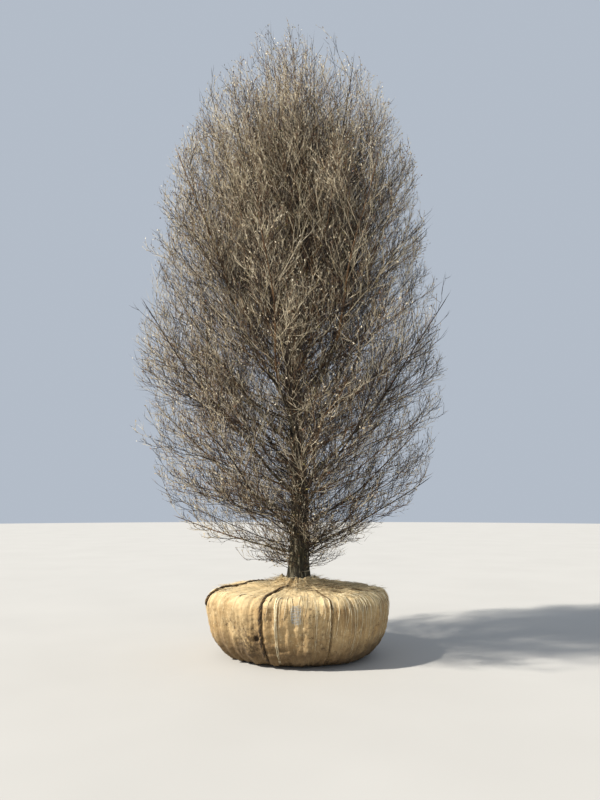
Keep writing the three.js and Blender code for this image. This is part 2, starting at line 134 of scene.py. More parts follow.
# The stretches of the trunk that carry sprigs: their bottom and top, steps and seed.
SPRIG_STRETCH = (0.84, 4.4, 60, 71)
FOOT_STRETCH = (0.76, 1.5, 20, 72)
# How a shoot's own seed follows from its parent's seed and its number.
SEEDS = Values(parent=31, number=17, start=7, limit=99991)
LEAST_RADIUS = 0.0022
TIP_RADIUS = 0.0013
# Draws the shoots towards the outer ends of their parents.
CROWDING = 0.8
WOBBLE = 0.018
# Fewer shoots grow towards the top, where the sky shows between the whips.
THINNING = Values(bottom=5.2, top=6.9, most=0.77)
# How much the shoots of a spray keep to its deal, and what each spray is dealt: how much of it is chance,
# how much of the rest comes from how far out it stands, and from what height up. The part that comes from its
# place is painted light: sprays far out and high up take the paler twig tones, those deep inside and low the
# darker ones, as painted shade.
VARIATION = 0.85
DEAL = Values(chance=0.55, out=0.6, bottom=1, span=6, least_radius=0.3, most=0.999)


def chance(seed, index):
    """A repeatable number from 0 to 1 for each pair of whole numbers; the index keeps the draws apart."""
    wave = np.sin(np.asarray(seed) * DRAWS.seed + np.asarray(index) * DRAWS.index) * DRAWS.scale
    return wave - np.floor(wave)


def spread(seed, index, width):
    return (chance(seed, index) * 2 - 1) * width


def lerp(start, end, share):
    return start + (end - start) * share


def smooth(share):
    share = np.clip(share, 0, 1)
    return share * share * (3 - 2 * share)


def unit(vectors):
    return vectors / np.maximum(np.linalg.norm(vectors, axis=-1, keepdims=True), 1e-12)


def turned(vectors, axes, angles):
    """Vectors turned about unit axes."""
    angles = np.asarray(angles)[..., None]
    along = axes * (vectors * axes).sum(-1, keepdims=True)
    return along + (vectors - along) * np.cos(angles) + np.cross(axes, vectors) * np.sin(angles)


def square_to(directions):
    steep = np.abs(directions[..., 2:]) > 0.9
    return unit(np.cross(np.where(steep, (1.0, 0.0, 0.0), UP), directions))


def around(count):
    """The angles of a number of directions all round."""
    return np.arange(count) * FULL_TURN / count


def outward(angle):
    return np.stack((np.cos(angle), np.sin(angle), np.zeros_like(angle)), axis=-1)


def noise(points, size, seed):
    """Smooth noise from -1 to 1, in cells of a size."""
    cells = np.asarray(points, float) / size
    base = np.floor(cells).astype(np.int64)
    blend = smooth(cells - base)
    total = 0
    for corner in np.ndindex(2, 2, 2):
        weight = np.where(corner, blend, 1 - blend).prod(-1)
        key = ((base + corner) * CELLS.axes).sum(-1) + seed * CELLS.seed
        key = (key ^ (key >> 13)) * CELLS.key
        value = ((key ^ (key >> 16)) & 0xFFFF) / 0x7FFF - 1
        total = total + weight * value
    return total


def trunk_middle(height):
    above = np.asarray(height, float) - TRUNK.bottom
    turn = above / TRUNK.sway_length
    start_x, start_y = TRUNK.sway_start
    x = TRUNK.lean * above + TRUNK.sway * (np.sin(turn + start_x) - math.sin(start_x))
    y = TRUNK.sway * (np.sin(turn * TRUNK.sway_back + start_y) - math.sin(start_y))
    return np.stack((x, y, above + TRUNK.bottom), axis=-1)


def trunk_radius(height):
    above = np.asarray(height, float) - TRUNK.bottom
    taper = lerp(TRUNK.foot_radius, TRUNK.top_radius, above / (TRUNK.top - TRUNK.bottom))
    return taper + TRUNK.flare * np.exp(-above / TRUNK.flare_height)


def crown_middle(height):
    height = np.asarray(height, float)
    return np.stack((CROWN.middle + 0 * height, 0 * height, height), axis=-1)


def crown_radius(height):
    above = height >= CROWN.widest
    span = np.where(above, CROWN.top - CROWN.widest, CROWN.widest - CROWN.bottom)
    share = np.minimum(1, np.abs(height - CROWN.widest) / span)
    return CROWN.radius * (1 - share * share) ** np.where(above, CROWN.upper_power, CROWN.lower_power)


def from_axis(points, middle):
    return np.hypot(points[..., 0] - middle[..., 0], points[..., 1] - middle[..., 1])


class Growth:
    """Shoots of one generation: a row of points along each, and what its own shoots need to know.

    The deal is a number from 0 to 1 that a spray hands down to all of its twigs and leaves.
    """

    def __init__(self, *fields):
        self.fields = fields
        self.points, self.root_radius, self.tip_radius, self.seed, self.mass, self.deal = fields
        self.length = np.linalg.norm(np.diff(self.points, axis=1), axis=-1).sum(-1)

    def at(self, which, share):
        """Where a share of the way along some of them is, and which way they head there."""
        steps = self.points.shape[1] - 1
        step = np.minimum((share * steps).astype(int), steps - 1)
        start, end = self.points[which, step], self.points[which, step + 1]
        return start + (end - start) * (share * steps - step)[:, None], unit(end - start)

    def part(self, chosen):
        return Growth(*(field[chosen] for field in self.fields))

    def __add__(self, other):
        return Growth(*(np.concatenate(pair) for pair in zip(self.fields, other.fields)))


def bent(start, knee, end, t):
    return start * (1 - t) ** 2 + knee * 2 * t * (1 - t) + end * t**2


def limb_lines(limbs):
    """Points along each limb from the trunk's middle to the crown's outline, and how thick its root is."""
    number = np.arange(limbs.count)
    seed = number + limbs.own_seed
    share = (number + 0.5) / limbs.count
    (first_turn, turn_jitter), (first_root, last_root, root_power) = limbs.turns, limbs.roots
    (first_tip, last_tip, tip_power), (tip_reach, reach_jitter) = limbs.tips, limbs.reach
    tip_height = lerp(first_tip, last_tip, share**tip_power)
    tip_height = tip_height + spread(seed, 1, limbs.tip_jitter)
    out = outward(first_turn + number * GOLDEN_ANGLE + spread(seed, 2, turn_jitter))
    root = trunk_middle(lerp(first_root, last_root, share**root_power))
    tip_out = crown_radius(tip_height) * (tip_reach + spread(seed, 6, reach_jitter))
    tip = crown_middle(tip_height) + out * tip_out[:, None]
    reach = tip - root
    span = np.linalg.norm(reach, axis=-1)
    knee = root + out * ((reach * out).sum(-1) * limbs.knee[0])[:, None]
    knee[:, 2] += reach[:, 2] * limbs.knee[1]
    side = np.cross(UP, out)
    phase = chance(seed, 3)[:, None, None] * FULL_TURN
    t = np.linspace(0, 1, limbs.steps + 1)[:, None]
    wave = np.sin(math.pi * t) * np.sin(3 * math.pi * t + phase) * limbs.wave
    root, knee, tip, side = (field[:, None] for field in (root, knee, tip, side))
    lines = bent(root, knee, tip, t) + side * wave * span[:, None, None]
    return lines, limbs.tip_radius + limbs.thickening * span


def leader_line(steps, nudge=0.001):
    """The leader sets out the way the trunk's end heads, and rises to the top of the crown."""
    start, end = trunk_middle(TRUNK.top), crown_middle(CROWN.top)
    slope = (start - trunk_middle(TRUNK.top - nudge)) / nudge
    knee = start + slope * (end[2] - start[2]) / 2
    return bent(start, knee, end, np.linspace(0, 1, steps + 1)[:, None])


LIMB_LINES, LIMB_RADII = limb_lines(LIMBS)
LIMB_LINES = np.concatenate((LIMB_LINES, leader_line(LIMBS.steps)[None]))
LIMB_RADII = np.append(LIMB_RADII, TRUNK.top_radius)
MASSES = LIMBS.count + 1
BOUGH_ENDS = np.append(np.full(LIMBS.count, BOUGH_SHARE), 0.0)


def stretch_of_limb(limb, start, end, steps):
    """Points along part of a limb."""
    place = np.linspace(start, end, steps + 1) * LIMBS.steps
    low = np.minimum(place.astype(int), LIMBS.steps - 1)
    line = LIMB_LINES[limb]
    return line[low] + (line[low + 1] - line[low]) * (place - low)[:, None]


def limb_radius(limb, share):
    power = 1 if limb == LIMBS.count else LIMB_TAPER
    return lerp(LIMB_RADII[limb], LIMBS.tip_radius, share**power)


def limb_growth(starts, steps):
    """The limbs from one share of their length to their tips, as parents of shoots."""
    number = np.arange(MASSES)
    points = np.stack([stretch_of_limb(i, starts[i], 1, steps) for i in number])
    roots = np.array([limb_radius(i, starts[i]) for i in number])
    tips = np.array([limb_radius(i, 1) for i in number])
    return Growth(points, roots, tips, number + LIMBS.shoot_seed, number, chance(number, 8))


def fan_growth(fan):
    """A set of thinner limbs, as parents of shoots."""
    lines, radii = limb_lines(fan)
    number = np.arange(fan.count)
    tips = np.full(fan.count, fan.tip_radius)
    return Growth(lines, radii, tips, number + fan.own_seed, number % MASSES, chance(number, 9))


def trunk_growth(bottom, top, steps, seed):
    """A stretch of the trunk as the parent of sprigs."""
    points = trunk_middle(np.linspace(bottom, top, steps + 1))[None]
    radii = trunk_radius(np.array((bottom, top)))
    return Growth(points, radii[:1], radii[1:], np.array([seed]), np.zeros(1, int), np.zeros(1))


def distances(points, lines):
    """How far each point is from each line of marks."""
    start, end = lines[None, :, :-1], lines[None, :, 1:]
    run = end - start
    offset = points[:, None, None] - start
    share = np.clip((offset * run).sum(-1) / (run * run).sum(-1), 0, 1)
    return np.linalg.norm(offset - run * share[..., None], axis=-1).min(-1)


BOUGH_MARKS = np.stack([stretch_of_limb(i, 0, BOUGH_SHARE, MARKS) for i in range(LIMBS.count)])
STEM_MARKS = np.stack([stretch_of_limb(i, BOUGH_ENDS[i], 1, MARKS) for i in range(MASSES)])


def inside(points, reach, bottom, gap, trunk_top):
    """Whether points lie in the crown, within a reach of its middle line, and a gap away from the trunk."""
    height = points[:, 2]
    fits = (height > bottom) & (height < CROWN.top) & (from_axis(points, crown_middle(height)) < reach)
    near_trunk = from_axis(points, trunk_middle(height)) < trunk_radius(height) + gap
    return fits & ~(near_trunk & (height < trunk_top))


def room_of_solids(points, mass, half_width):
    """Whether points stay in their own mass's space, as the solids' shoots do."""
    clear = half_width + SPACE_MARGIN
    fits = inside(points, crown_radius(points[:, 2]), CROWN.bottom, clear, TRUNK.top + clear)
    fits &= (distances(points, BOUGH_MARKS) >= LIMB_RADII[: LIMBS.count] + clear[:, None]).all(-1)
    away = distances(points, STEM_MARKS)
    own = away[np.arange(len(points)), mass]
    away[np.arange(len(points)), mass] = np.inf
    return fits & (away.min(-1) > own + clear)


# The twigs fill a lumpy crown a little inside the outline, and the longer shoots stand out of it.
LUMPS = Values(size=0.55, seed=5, trunk_gap=0.012, skirt=0.42, skirt_bottom=0.775)


def room_within(share, depth, bottom=CROWN.bottom, least=0):
    """A test of whether points lie in a lumpy crown: its share of the outline, and how deep its lumps are."""

    def has_room(points, mass, half_width):
        height = np.maximum(points[:, 2], CROWN.bottom)
        lump = share + depth * noise(points, LUMPS.size, LUMPS.seed)
        reach = np.maximum(crown_radius(height) * lump, least)
        return inside(points, reach, bottom, LUMPS.trunk_gap, TRUNK.top)

    return has_room


def shoots_on(parents, rule, has_room, deals=None):
    """One more generation, grown on the last by its rule. A shoot without room is shorter, or left out."""
    count = (rule.least + np.floor(parents.length / rule.spacing + 0.5)).astype(int)
    which = np.repeat(np.arange(len(count)), count)
    number = np.arange(len(which)) - np.repeat(np.cumsum(count) - count, count)
    seed = parents.seed[which] + rule.shift
    at = (number + chance(seed, number)) / count[which]
    at = lerp(rule.first, rule.last, at if rule in SOLID_RULES else at**CROWDING)
    whole = parents.length[which] * rule.share * (1 - SHORTEN * at)
    whole = whole * (1 + spread(seed, number + 23, LENGTH_JITTER))
    root, along = parents.at(which, at)
    turn = number * GOLDEN_ANGLE + chance(seed, 5) * FULL_TURN
    hinge = turned(square_to(along), along, turn)
    lean = math.radians(rule.lean) * (1 + spread(seed, number + 11, LEAN_JITTER))
    leaving = turned(along, hinge, lean)
    rising = unit(lerp(leaving, UP, rule.lift))
    thickness = lerp(parents.root_radius[which], parents.tip_radius[which], at)
    radius = np.maximum(LEAST_RADIUS, thickness * rule.thickness)

    def place(length, t):
        early, late = length / 2 * (2 * t - t * t), length / 2 * t * t
        return root + leaving * early[:, None] + rising * late[:, None]

    mass = parents.mass[which]
    length = np.zeros(len(which))
    for trial in reversed(TRIALS):
        fits = np.ones(len(which), bool)
        for t in ROOM_TESTS:
            fits &= has_room(place(whole * trial, t), mass, radius)
        length = np.where(fits, whole * trial, length)
    kept = length > 0
    points = np.stack([place(length, t) for t in np.linspace(0, 1, rule.steps + 1)], axis=1)
    sideways = np.cross(leaving, hinge)
    for step in range(1, rule.steps + 1):
        bend = spread(seed, number * 7 + step + 51, WOBBLE)[:, None] * hinge
        bend = bend + spread(seed, number * 5 + step + 83, WOBBLE)[:, None] * sideways
        points[:, step] += bend * length[:, None]
    own_seed = (seed * SEEDS.parent + number * SEEDS.number + SEEDS.start) % SEEDS.limit
    deal = parents.deal[which] if deals is None else deals(own_seed, root)
    return Growth(points, radius, np.minimum(radius, TIP_RADIUS), own_seed, mass, deal).part(kept)


def thinned(growth):
    """Leaves out more and more of the shoots towards the top of the crown."""
    rise = (growth.points[:, 0, 2] - THINNING.bottom) / (THINNING.top - THINNING.bottom)
    return growth.part(chance(growth.seed, 14) >= THINNING.most * smooth(rise))


def varied(growth):
    """Lets the shoots of a spray differ a little from it."""
    mixed = (growth.deal + chance(growth.seed, 15) - 1) * VARIATION + 0.5
    return Growth(*growth.fields[:-1], np.clip(mixed, 0, DEAL.most))


def spray_deal_with_painted_light(seed, root):
    """What each spray is dealt: sprays far out and high up tend to be dealt more than those inside, and so
    take the paler twig tones as painted light, while those inside take the darker ones as painted shade.
    """
    height = root[:, 2]
    out = from_axis(root, crown_middle(height)) / np.maximum(crown_radius(height), DEAL.least_radius)
    place = DEAL.out * np.minimum(out, 1) + (1 - DEAL.out) * smooth((height - DEAL.bottom) / DEAL.span)
    return np.clip(DEAL.chance * chance(seed, 6) + (1 - DEAL.chance) * place, 0, DEAL.most)


def tubes(points, radii, sides, open_root=False):
    """Tapering bodies along rows of points; the last point of each row is its tip."""
    count, rows, _ = points.shape
    direction = unit(np.gradient(points, axis=1))
    side = square_to(direction[:, 0])[:, None]
    side = unit(side - direction * (side * direction).sum(-1, keepdims=True))
    front = np.cross(direction, side)
    angle = around(sides)[:, None]
    ring = side[:, :-1, None] * np.cos(angle) + front[:, :-1, None] * np.sin(angle)
    body = points[:, :-1, None] + ring * radii[:, :-1, None, None]
    vertices = np.concatenate((body.reshape(count, -1, 3), points[:, -1:]), axis=1)
    faces = []
    for row in range(rows - 2):
        for corner in range(sides):
            a, b = row * sides + corner, row * sides + (corner + 1) % sides
            faces += [(a, b, b + sides), (a, b + sides, a + sides)]
    last, tip = (rows - 2) * sides, (rows - 1) * sides
    faces += [(last + corner, last + (corner + 1) % sides, tip) for corner in range(sides)]
    if not open_root:
        faces += [(0, corner + 1, corner) for corner in range(1, sides - 1)]
    first = np.arange(count)[:, None, None] * vertices.shape[1]
    return vertices.reshape(-1, 3), (np.array(faces)[None] + first).reshape(-1, 3), len(faces)


def object_of(name, vertices, triangles, materials, tones=None, shade_smooth=True):
    """A mesh object from arrays, with a material index for each triangle."""
    mesh = bpy.data.meshes.new(name)
    mesh.from_pydata(vertices.tolist(), [], triangles.tolist(), shade_flat=not shade_smooth)
    for material in materials:
        mesh.materials.append(material)
    if tones is not None:
        mesh.polygons.foreach_set("material_index", np.ascontiguousarray(tones, np.int32))
    mesh.validate()
    piece = bpy.data.objects.new(name, mesh)
    bpy.context.scene.collection.objects.link(piece)
    return piece


def join(parts):
    """Several vertex and triangle arrays as one pair."""
    vertices, triangles = zip(*parts)
    starts = np.cumsum([0] + [len(part) for part in vertices])
    triangles = [part + start for part, start in zip(triangles, starts)]
    return np.concatenate(vertices), np.concatenate(triangles)


def settle(piece, slot, *nodes):
    """Makes a piece part of the plant, in place of the solids it stands for."""
    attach(piece, "root")
    if nodes:
        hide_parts(*nodes)


def colour(code):
    """A hex colour as linear light."""
    channels = [int(code[i : i + 2], 16) / 255 for i in (0, 2, 4)]
    return tuple(c / 12.92 if c <= 0.04045 else ((c + 0.055) / 1.055) ** 2.4 for c in channels) + (1.0,)


class Look:
    """A material and short ways to add nodes to it."""

    def __init__(self, name, roughness):
        self.material = bpy.data.materials.new(name)
        self.material.use_nodes = True
        self.tree = self.material.node_tree
        self.shader = self.tree.nodes["Principled BSDF"]
        self.shader.inputs["Roughness"].default_value = roughness
        coordinates = self.node("TexCoord")
        self.place, self.sheet = coordinates.outputs["Object"], coordinates.outputs["UV"]

    def put(self, socket, value):
        """Links a value or sets a constant; a colour may be given as its hex code."""
        if isinstance(value, bpy.types.NodeSocket):
            self.tree.links.new(value, socket)
        else:
            socket.default_value = colour(value) if isinstance(value, str) else value

    def node(self, kind, inputs=None, **settings):
        made = self.tree.nodes.new("ShaderNode" + kind)
        for name, value in settings.items():
            setattr(made, name, value)
        for name, value in (inputs or {}).items():
            self.put(made.inputs[name], value)
        return made

    def stretched(self, scale, vector=None):
        return self.node("Mapping", {"Vector": vector or self.place, "Scale": scale}).outputs["Vector"]

    def noise(self, scale, detail=4, rough=0.55, vector=None, distortion=0):
        inputs = {"Vector": vector or self.place, "Scale": scale, "Detail": detail}
        inputs |= {"Roughness": rough, "Distortion": distortion}
        return self.node("TexNoise", inputs).outputs["Fac"]

    def ramp(self, value, *stops):
        made = self.node("ValToRGB", {"Fac": value})
        elements = made.color_ramp.elements
        while len(elements) < len(stops):
            elements.new(0.5)
        for element, (position, code) in zip(elements, stops):
            element.position = position
            element.color = colour(code) if isinstance(code, str) else (code, code, code, 1)
        return made.outputs["Color"]

    def mask(self, value, low, high, bottom=0.0, top=1.0):
        """A value as a mask that runs from one level to another."""
        return self.ramp(value, (low, bottom), (high, top))

    def mix(self, factor, first, second):
        return self.node("Mix", {0: factor, 6: first, 7: second}, data_type="RGBA").outputs[2]

    def math(self, first, second, operation="ADD"):
        return self.node("Math", {0: first, 1: second}, operation=operation).outputs[0]

    def cover(self, base, mask, amount, code):
        """A colour laid over the base, as far as a mask and an amount let it."""
        return self.mix(self.math(mask, amount, "MULTIPLY"), base, code)

    def near(self, place, inner, outer):
        """One inside a distance of a place, and nothing outside a longer one."""
        away = self.node("VectorMath", {0: self.place, 1: place}, operation="DISTANCE")
        return self.mask(away.outputs["Value"], inner, outer, 1.0, 0.0)

    def finish(self, base, height=None, strength=0, distance=0):
        self.put(self.shader.inputs["Base Color"], base)
        if height is not None:
            bump = self.node("Bump", {"Height": height, "Strength": strength, "Distance": distance})
            self.put(self.shader.inputs["Normal"], bump.outputs["Normal"])
        return self.material


def bark_look(name, *tones):
    """Grey-brown bark with pale upright streaks and dark furrows."""
    look = Look(name, 0.9)
    upright = look.stretched((1, 1, 0.16))
    streaks = look.noise(34, 6, 0.62, upright, 0.3)
    base = look.ramp(streaks, *zip((0.36, 0.48, 0.56, 0.64), tones))
    base = look.cover(base, look.mask(look.noise(3.2, 3), 0.42, 0.66), 0.4, "46442f")
    grain = look.noise(90, 5, 0.7, upright)
    return look.finish(base, look.math(streaks, grain), 0.7, 0.006)


# The plain materials: a scale and detail for their patches and grain, and the grain's strength and depth.
TWIG_SKIN = Values(roughness=0.72, patches=(14, 3), stops=(0.38, 0.62), grain=(160, 2), bump=(0.25, 0.001))
LEAF_SKIN = Values(roughness=0.66, patches=(22, 2), stops=(0.35, 0.65), grain=(220, 2), bump=(0.2, 0.0006))
YARN_SKIN = Values(roughness=0.9, patches=(38, 3), stops=(0.36, 0.64), grain=(420, 3), bump=(0.4, 0.001))
NET_SKIN = Values(roughness=0.6, patches=(38, 3), stops=(0.36, 0.64), grain=(420, 3), bump=(0.4, 0.001))
ROPE_SKIN = Values(
    roughness=0.95, patches=(55, 5, 0.7), stops=(0.35, 0.55, 0.72), grain=(380, 3), bump=(0.6, 0.002)
)


def plain_look(name, skin, tones):
    """Uneven tones and a fine grain."""
    look = Look(name, skin.roughness)
    base = look.ramp(look.noise(*skin.patches), *zip(skin.stops, tones))
    return look.finish(base, look.noise(*skin.grain), *skin.bump)


def burlap_look():
    """Jute cloth: uneven yarns both ways, soil rubbed into it, a top painted paler as painted sunlight, and
    colour that darkens towards its foot.
    """
    look = Look("burlap", 0.95)
    down = look.noise(1, 4, 0.6, look.stretched((230, 9, 1), look.sheet))
    across = look.noise(1, 4, 0.6, look.stretched((16, 260, 1), look.sheet))
    yarns = look.mix(0.4, down, across)
    base = look.ramp(yarns, (0.34, "75582f"), (0.5, "b08f5f"), (0.66, "d8c094"))
    bands = look.noise(1, 5, vector=look.stretched((24, 1.8, 1), look.sheet))
    flecks = look.noise(44, 5, 0.75, look.stretched((1, 1, 0.4)))
    dirty = look.mask(look.noise(3.2, 4), 0.42, 0.6, 0.2, 0.9)
    height = look.node("SeparateXYZ", {0: look.place}).outputs["Z"]
    edge = look.math(height, look.math(look.noise(6, 5), 0.3, "MULTIPLY"), "SUBTRACT")
    layers = (
        (look.mask(bands, 0.42, 0.6), 0.5, "745936"),
        (look.mask(look.noise(2.4, 4), 0.38, 0.68), 0.4, "cbb68c"),
        (look.mask(look.noise(5.5, 6, 0.7), 0.48, 0.68), 0.6, "735a39"),
        (look.mask(look.noise(30, 6, 0.78), 0.53, 0.62), dirty, "4f3c26"),
        (look.mask(flecks, 0.57, 0.65), 0.5, "e9d7ad"),
        # Painted sunlight: the top and the upper shoulder of the cloth are paler.
        (look.mask(edge, 0.43, 0.54), 0.5, "ead6a9"),
        # Darker towards the foot of the ball.
        (look.mask(edge, -0.02, 0.16, 1.0, 0.0), 0.75, "4f3c25"),
    )
    for layer in layers:
        base = look.cover(base, *layer)
    base = look.mix(soil_stain(look), base, "3d2e1d")
    fuzz = look.noise(300, 4, 0.7)
    return look.finish(base, look.math(look.math(yarns, 0.8, "MULTIPLY"), fuzz), 0.5, 0.003)


def soil_stain(look):
    """Dark soil that shows through the worn cloth low on the near side, darkest in the tear."""
    stained, torn = (tuple(on_cloth(math.radians(mark.degrees), mark.run)) for mark in (STAIN, TEAR))
    worn = look.mask(look.noise(22, 5, 0.7), 0.42, 0.54)
    stain = look.math(look.near(stained, 0.08, 0.26), worn, "MULTIPLY")
    return look.math(look.math(stain, 0.75, "MULTIPLY"), look.near(torn, 0.03, 0.045), "MAXIMUM")


# Twig tones that differ at random, and that the deals also use as painted light: the grey tone as painted
# sunlight on sprays far out and high up, the dark tone as painted shade deep inside the crown.
TWIG_TONES = {
    "twig_dark": ("180f06", "2c1d0e"),
    "twig_brown": ("513920", "775837"),
    "twig_grey": ("948569", "dccfb3"),
}
TWIG_SHARES = (0.52, 0.15, 0.33)
# The limbs are nearly all dark: painted shade, as the thick limbs lie in the shade inside the crown.
LIMB_SHARES = (0.66, 0.32, 0.02)
LEAF_TONES = {
    "leaf_beige": ("c9bb9f", "ebe0c6"),
    "leaf_tan": ("a08c6c", "c6b28e"),
    "leaf_copper": ("6b4d3a", "936c50"),
    "leaf_olive": ("6b6136", "918549"),
    "leaf_dark": ("43352a", "66523f"),
}
LEAF_SHARES = (0.36, 0.24, 0.14, 0.14, 0.12)


def dealt(deal, shares):
    """The tone that each deal stands for."""
    return np.searchsorted(np.cumsum(shares)[:-1], deal)


def wood_of(growth, sides, shares=TWIG_SHARES, open_root=False):
    """The shoots of one generation as arrays, with the tone of each triangle."""
    share = np.linspace(0, 1, growth.points.shape[1])
    radii = lerp(growth.root_radius[:, None], growth.tip_radius[:, None], share)
    vertices, triangles, per_shoot = tubes(growth.points, radii, sides, open_root)
    return vertices, triangles, np.repeat(dealt(growth.deal, shares), per_shoot)


# A small leaf: its outline is in shares of its length and half width, and odd leaves differ in tone.
LEAF = Values(
    length=0.021, half_width=0.005, size_jitter=0.35, lean=35, fold=0.2, last_root=0.999,
    outline=((0, 0), (0.28, 1), (0.62, 0.72), (1, 0), (0.62, -0.72), (0.28, -1)),
    tone_scale=613.7, odd_share=0.25, odd_step=0.37,
)
LEAF_FACES = np.array(((0, 1, 2), (0, 2, 3), (0, 3, 4), (0, 4, 5)))


def leaves_on(growth, first):
    """One leaf on each shoot, between a share of its length and its tip: arrays and triangle tones."""
    seed = growth.seed
    root, along = growth.at(np.arange(len(seed)), lerp(first, LEAF.last_root, chance(seed, 1)))
    hinge = turned(square_to(along), along, chance(seed, 2) * FULL_TURN)
    ahead = turned(along, hinge, math.radians(LEAF.lean) * (0.5 + chance(seed, 3)))
    across = turned(square_to(ahead), ahead, chance(seed, 6) * FULL_TURN)
    back = np.cross(ahead, across)
    size = (1 + spread(seed, 4, LEAF.size_jitter))[:, None]

    def corner(share, aside):
        aside *= LEAF.half_width
        lifted = across * aside + back * abs(aside) * LEAF.fold
        return root + (ahead * LEAF.length * share + lifted) * size

    vertices = np.stack([corner(*point) for point in LEAF.outline], axis=1).reshape(-1, 3)
    first_corners = np.arange(len(seed))[:, None, None] * len(LEAF.outline)
    odd = (chance(seed, 9) < LEAF.odd_share) * LEAF.odd_step
    tones = dealt((growth.deal * LEAF.tone_scale + odd) % 1, LEAF_SHARES)
    return vertices, (LEAF_FACES[None] + first_corners).reshape(-1, 3), np.repeat(tones, len(LEAF_FACES))


def resampled(growth, steps):
    """The same shoots with another number of points along each."""
    number = np.arange(len(growth.seed))
    places = [growth.at(number, np.full(len(number), t))[0] for t in np.linspace(0, 1, steps + 1)]
    return Growth(np.stack(places, axis=1), *growth.fields[1:])


STEM_STEPS = 12
PARENT_STEPS = 24
# How far out on each limb its first dense shoots grow; the leader has them from its root.
FILL_STARTS = np.append(np.full(LIMBS.count, 0.1), 0.0)
FILL_ROOM = room_within(0.93, 0.05)
FINE_ROOM = room_within(0.93, 0.07)
SKIRT_ROOM = room_within(0.9, 0.07, LUMPS.skirt_bottom, LUMPS.skirt)


def grow_crown():
    """All the generations of the crown, by name."""
    stems = limb_growth(BOUGH_ENDS, STEM_STEPS)
    limbs = limb_growth(FILL_STARTS, PARENT_STEPS)
    fan = fan_growth(FAN) + fan_growth(WHIPS)
    first = shoots_on(stems, SOLID_RULES[0], room_of_solids)
    second = shoots_on(first, SOLID_RULES[1], room_of_solids)
    fill = thinned(shoots_on(limbs + resampled(fan, PARENT_STEPS), FILL_RULE, FILL_ROOM, spray_deal_with_painted_light))
    sprigs = shoots_on(trunk_growth(*SPRIG_STRETCH), SPRIG_RULE, FILL_ROOM, spray_deal_with_painted_light)
    sprigs = sprigs + shoots_on(trunk_growth(*FOOT_STRETCH), FOOT_RULE, SKIRT_ROOM, spray_deal_with_painted_light)
    # The masses share the sprigs between them.
    sprigs = Growth(*sprigs.fields[:4], sprigs.seed % MASSES, sprigs.deal)
    fine = shoots_on(fill, FINE_RULE, FINE_ROOM) + shoots_on(sprigs, FINE_RULE, SKIRT_ROOM)
    fine = varied(thinned(fine + shoots_on(first, FINE_RULE, FINE_ROOM, spray_deal_with_painted_light)))
    finest = shoots_on(fine, FINEST_RULE, SKIRT_ROOM)
    finest = varied(finest + shoots_on(second, FINEST_RULE, FINE_ROOM, spray_deal_with_painted_light))
    woody = dict(stems=stems, fan=fan, first=first, second=second, fill=fill, sprigs=sprigs)
    return dict(woody, fine=fine, finest=finest)


def numbered(word, number):
    return f"{word}_{number + 1:02d}"


MASS_NAMES = [numbered("mass", number) for number in range(LIMBS.count)] + ["mass_leader"]
GROUPS = 5
# The generations that make up the shoots of a group, with their sides and their shares of each tone; then
# those of its twigs, and those that carry its leaves, with the share of the twig that stays bare.
SHOOTS = {
    "stems": (7, LIMB_SHARES),
    "fan": (6, LIMB_SHARES),
    "first": (5, TWIG_SHARES),
    "second": (4, TWIG_SHARES),
    "fill": (4, TWIG_SHARES),
    "sprigs": (4, TWIG_SHARES),
}
TWIGS = {"twigs": "fine", "fine_twigs": "finest"}
TWIG_SIDES = 3
LEAVES = {"finest": 0.5, "fine": 0.7}
# The share of the twigs that carry a leaf, low in the crown and at its top.
LEAFY = Values(bottom=2.8, top=7.2, low=0.29, high=0.84)


def leafy(growth):
    """The shoots that carry a leaf."""
    above = (growth.points[:, -1, 2] - LEAFY.bottom) / (LEAFY.top - LEAFY.bottom)
    return growth.part(chance(growth.seed, 12) < lerp(LEAFY.low, LEAFY.high, smooth(above)))


def add_group(word, group, parts, looks, *nodes):
    """One kind of growth in a group of masses, joined from its parts."""
    vertices, triangles = join([part[:2] for part in parts])
    tones = np.concatenate([part[2] for part in parts])
    name = f"{word}_{group + 1}"
    settle(object_of(name, vertices, triangles, looks, tones, word != "leaves"), "shoots", *nodes)


def add_crown():
    """The crown in groups of masses, each with its shoots, its twigs, its finest twigs and its leaves."""
    twig_looks = [plain_look(name, TWIG_SKIN, tones) for name, tones in TWIG_TONES.items()]
    leaf_looks = [plain_look(name, LEAF_SKIN, tones) for name, tones in LEAF_TONES.items()]
    crown = grow_crown()
    for group in range(GROUPS):
        grown = {name: growth.part(growth.mass % GROUPS == group) for name, growth in crown.items()}
        shoots = [wood_of(grown[name], *made) for name, made in SHOOTS.items()]
        add_group("shoots", group, shoots, twig_looks, *MASS_NAMES[group::GROUPS])
        for word, name in TWIGS.items():
            add_group(word, group, [wood_of(grown[name], TWIG_SIDES, open_root=True)], twig_looks)
        leaves = [leaves_on(leafy(grown[name]), bare) for name, bare in LEAVES.items()]
        add_group("leaves", group, leaves, leaf_looks)


# The boughs' meshes, with their swollen roots and uneven bark.
BOUGHS = Values(
    steps=22, sides=9, overlap=0.01, swelling=0.7, swollen=0.08, swell_length=0.05, uneven=0.06, cell=0.06,
    seed=3,
)


